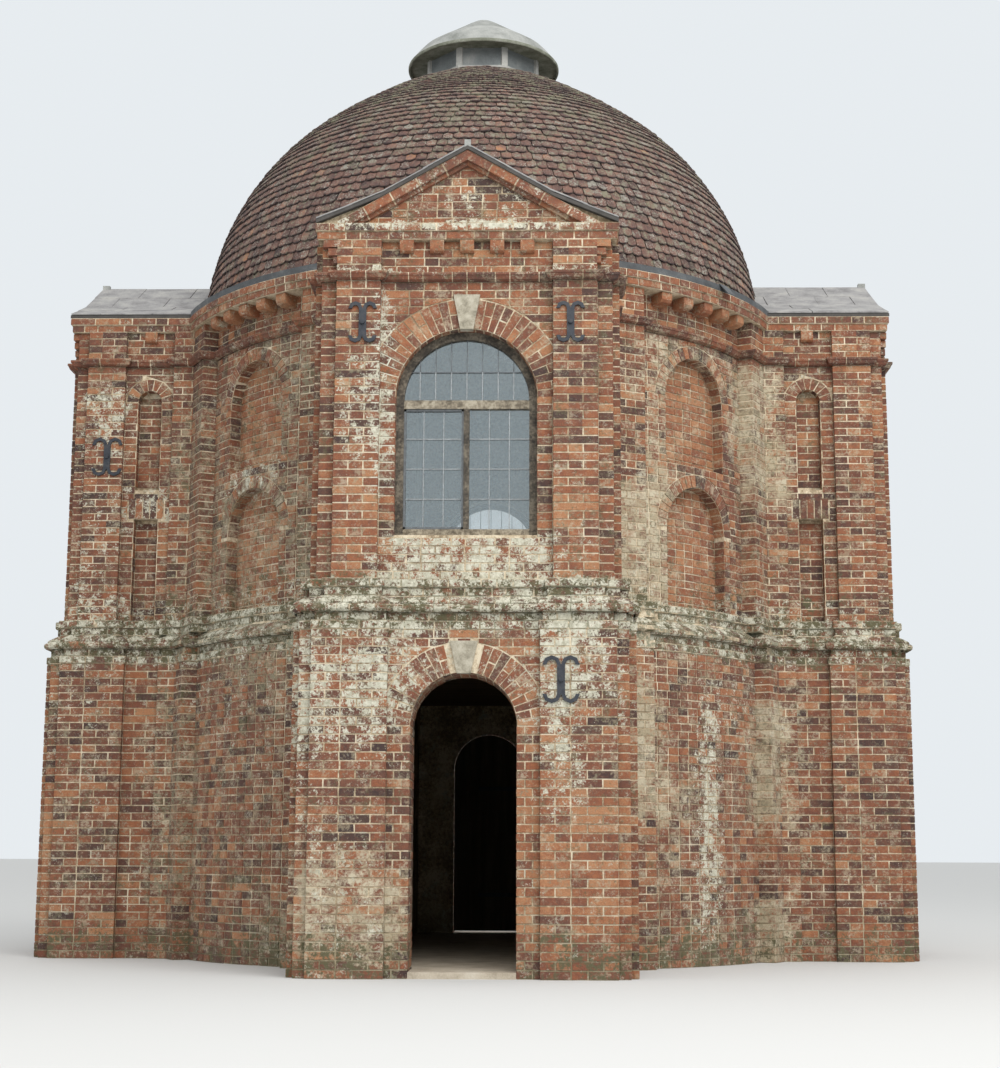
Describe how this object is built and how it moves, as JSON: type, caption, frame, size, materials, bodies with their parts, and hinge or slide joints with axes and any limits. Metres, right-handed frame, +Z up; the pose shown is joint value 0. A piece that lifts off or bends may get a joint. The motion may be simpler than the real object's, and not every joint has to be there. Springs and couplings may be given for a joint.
{
  "type": "garden summerhouse",
  "caption": "Brick garden summerhouse: a round drum with short gabled arms, arched windows, an open doorway, a hinged rear door, a tiled dome and a lead lantern.",
  "frame": {"origin": "middle of the plan on the ground, under the dome's axis", "axes": "+Z up, -Y towards the open front doorway, +X to the right as seen from the front"},
  "size_m": [7.96, 7.97, 9.48],
  "materials": {
    "brick": "weathered handmade red brick in lime mortar with lichen",
    "stone": "weathered limestone",
    "tile": "handmade plain clay tile, weathered",
    "slate": "weathered grey stone slate",
    "lead": "dull grey sheet lead",
    "frame_wood": "weathered grey-brown painted timber",
    "glass": "old leaded glass",
    "iron": "dark painted wrought iron",
    "door_wood": "dark weathered oak boards",
    "floor_stone": "worn stone paving",
    "floor_wood": "old wide floorboards"
  },
  "bodies": {
    "building": {"front_left_pier": "brick", "front_right_pier": "brick", "front_door_head": "brick", "rear_left_pier": "brick", "rear_right_pier": "brick", "rear_door_head": "brick", "left_lower_wall": "brick", "right_lower_wall": "brick", "front_string_course": "brick", "front_upper_wall": "brick", "front_entablature": "brick", "front_roof": "slate", "right_string_course": "brick", "right_upper_wall": "brick", "right_entablature": "brick", "right_roof": "slate", "rear_string_course": "brick", "rear_upper_wall": "brick", "rear_entablature": "brick", "rear_roof": "slate", "left_string_course": "brick", "left_upper_wall": "brick", "left_entablature": "brick", "left_roof": "slate", "front_right_lower_drum": "brick", "front_right_upper_drum": "brick", "front_right_drum_cornice": "brick", "rear_right_lower_drum": "brick", "rear_right_upper_drum": "brick", "rear_right_drum_cornice": "brick", "rear_left_lower_drum": "brick", "rear_left_upper_drum": "brick", "rear_left_drum_cornice": "brick", "front_left_lower_drum": "brick", "front_left_upper_drum": "brick", "front_left_drum_cornice": "brick", "dome": "tile", "gutter": "lead", "lantern": "lead", "lantern_cap": "lead", "keystones": "stone", "apex_caps": "lead", "window_frames": "frame_wood", "window_glass": "glass", "rear_door_pintles": "iron", "ground_floor": "floor_stone", "upper_floor": "floor_wood", "tie_plates": "iron"},
    "rear_door": {"rear_door": "door_wood", "rear_door_straps": "iron"}
  },
  "joints": [
    {"name": "rear_door_hinge", "type": "hinge", "parent": "building", "child": "rear_door", "pos_m": [0.425, 3.408, 0], "axis": [0, 0, 1], "range_deg": [0, 95]}
  ]
}
